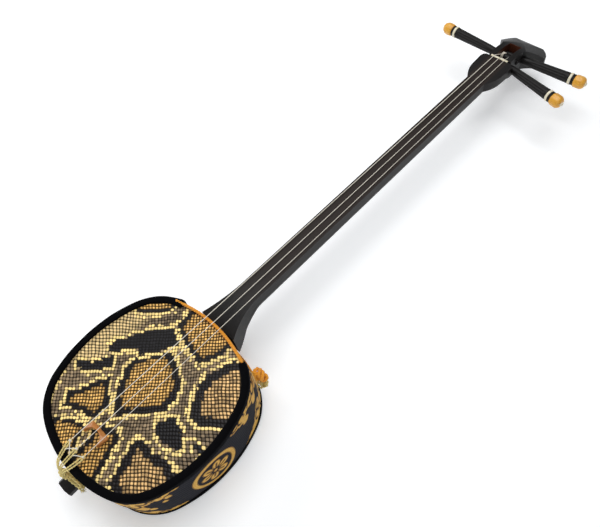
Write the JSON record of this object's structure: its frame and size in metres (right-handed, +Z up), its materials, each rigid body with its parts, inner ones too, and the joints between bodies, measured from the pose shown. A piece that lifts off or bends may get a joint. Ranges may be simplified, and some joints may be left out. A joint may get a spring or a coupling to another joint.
{
  "type": "long-necked plucked lute",
  "caption": "Long-necked plucked lute: snakeskin faces on a rounded square body with a cloth cover, black neck, tapered friction pegs that turn, and a loose arched bridge that tilts up.",
  "frame": {"origin": "middle of the back skin, on the plane that the lute rests on", "axes": "+X to the right and +Y up the neck as the face is seen, +Z up out of the face"},
  "size_m": [0.2007, 0.7625, 0.076],
  "materials": {
    "black_wood": "satin",
    "bone": "satin",
    "amber": "satin",
    "string": "satin",
    "snakeskin": "satin",
    "frame_wood": "matte",
    "backing": "matte",
    "brocade": "matte",
    "velvet": "matte",
    "yellow_cord": "satin",
    "orange_cord": "satin",
    "bamboo": "satin"
  },
  "bodies": {
    "lute": {"neck": "black_wood", "nut": "bone", "frame_top": "frame_wood", "frame_bottom": "frame_wood", "frame_left": "frame_wood", "frame_right": "frame_wood", "front_skin": "snakeskin", "back_skin": "snakeskin", "cover_core": "backing", "cover_fabric": "brocade", "front_piping": "velvet", "back_piping": "velvet", "string_1": "string", "string_2": "string", "string_3": "string", "tail_loop_1": "yellow_cord", "tail_loop_2": "yellow_cord", "tail_loop_3": "yellow_cord", "tail_knot": "yellow_cord", "tail_collar": "yellow_cord", "tail_cord_ends": "yellow_cord", "tie_cord_front": "orange_cord", "tie_cord_back": "orange_cord", "tie_knot": "orange_cord", "tie_tassel": "orange_cord"},
    "peg_low": {"peg_low_shaft": "black_wood", "peg_low_ring": "bone", "peg_low_spacer": "black_wood", "peg_low_cap": "amber", "peg_low_tip": "bone", "peg_low_winding": "string"},
    "peg_middle": {"peg_middle_shaft": "black_wood", "peg_middle_ring": "bone", "peg_middle_spacer": "black_wood", "peg_middle_cap": "amber", "peg_middle_tip": "bone", "peg_middle_winding": "string"},
    "peg_high": {"peg_high_shaft": "black_wood", "peg_high_ring": "bone", "peg_high_spacer": "black_wood", "peg_high_cap": "amber", "peg_high_tip": "bone", "peg_high_winding": "string"},
    "bridge": {"bridge": "bamboo"}
  },
  "joints": [
    {"name": "peg_low_turn", "type": "hinge", "parent": "lute", "child": "peg_low", "pos_m": [0, 0.5773, 0.0575], "axis": [0.9763, -0.2164, 0], "continuous": true},
    {"name": "peg_middle_turn", "type": "hinge", "parent": "lute", "child": "peg_middle", "pos_m": [0, 0.5895, 0.0562], "axis": [-0.9986, 0.0523, 0], "continuous": true},
    {"name": "peg_high_turn", "type": "hinge", "parent": "lute", "child": "peg_high", "pos_m": [0, 0.6014, 0.051], "axis": [0.9977, 0.068, 0], "continuous": true},
    {"name": "bridge_tilt", "type": "hinge", "parent": "lute", "child": "bridge", "pos_m": [-0.0006, -0.0629, 0.06706], "axis": [1, 0, 0], "range_deg": [0, 90], "deforming": ["string_1", "string_2", "string_3"]}
  ]
}
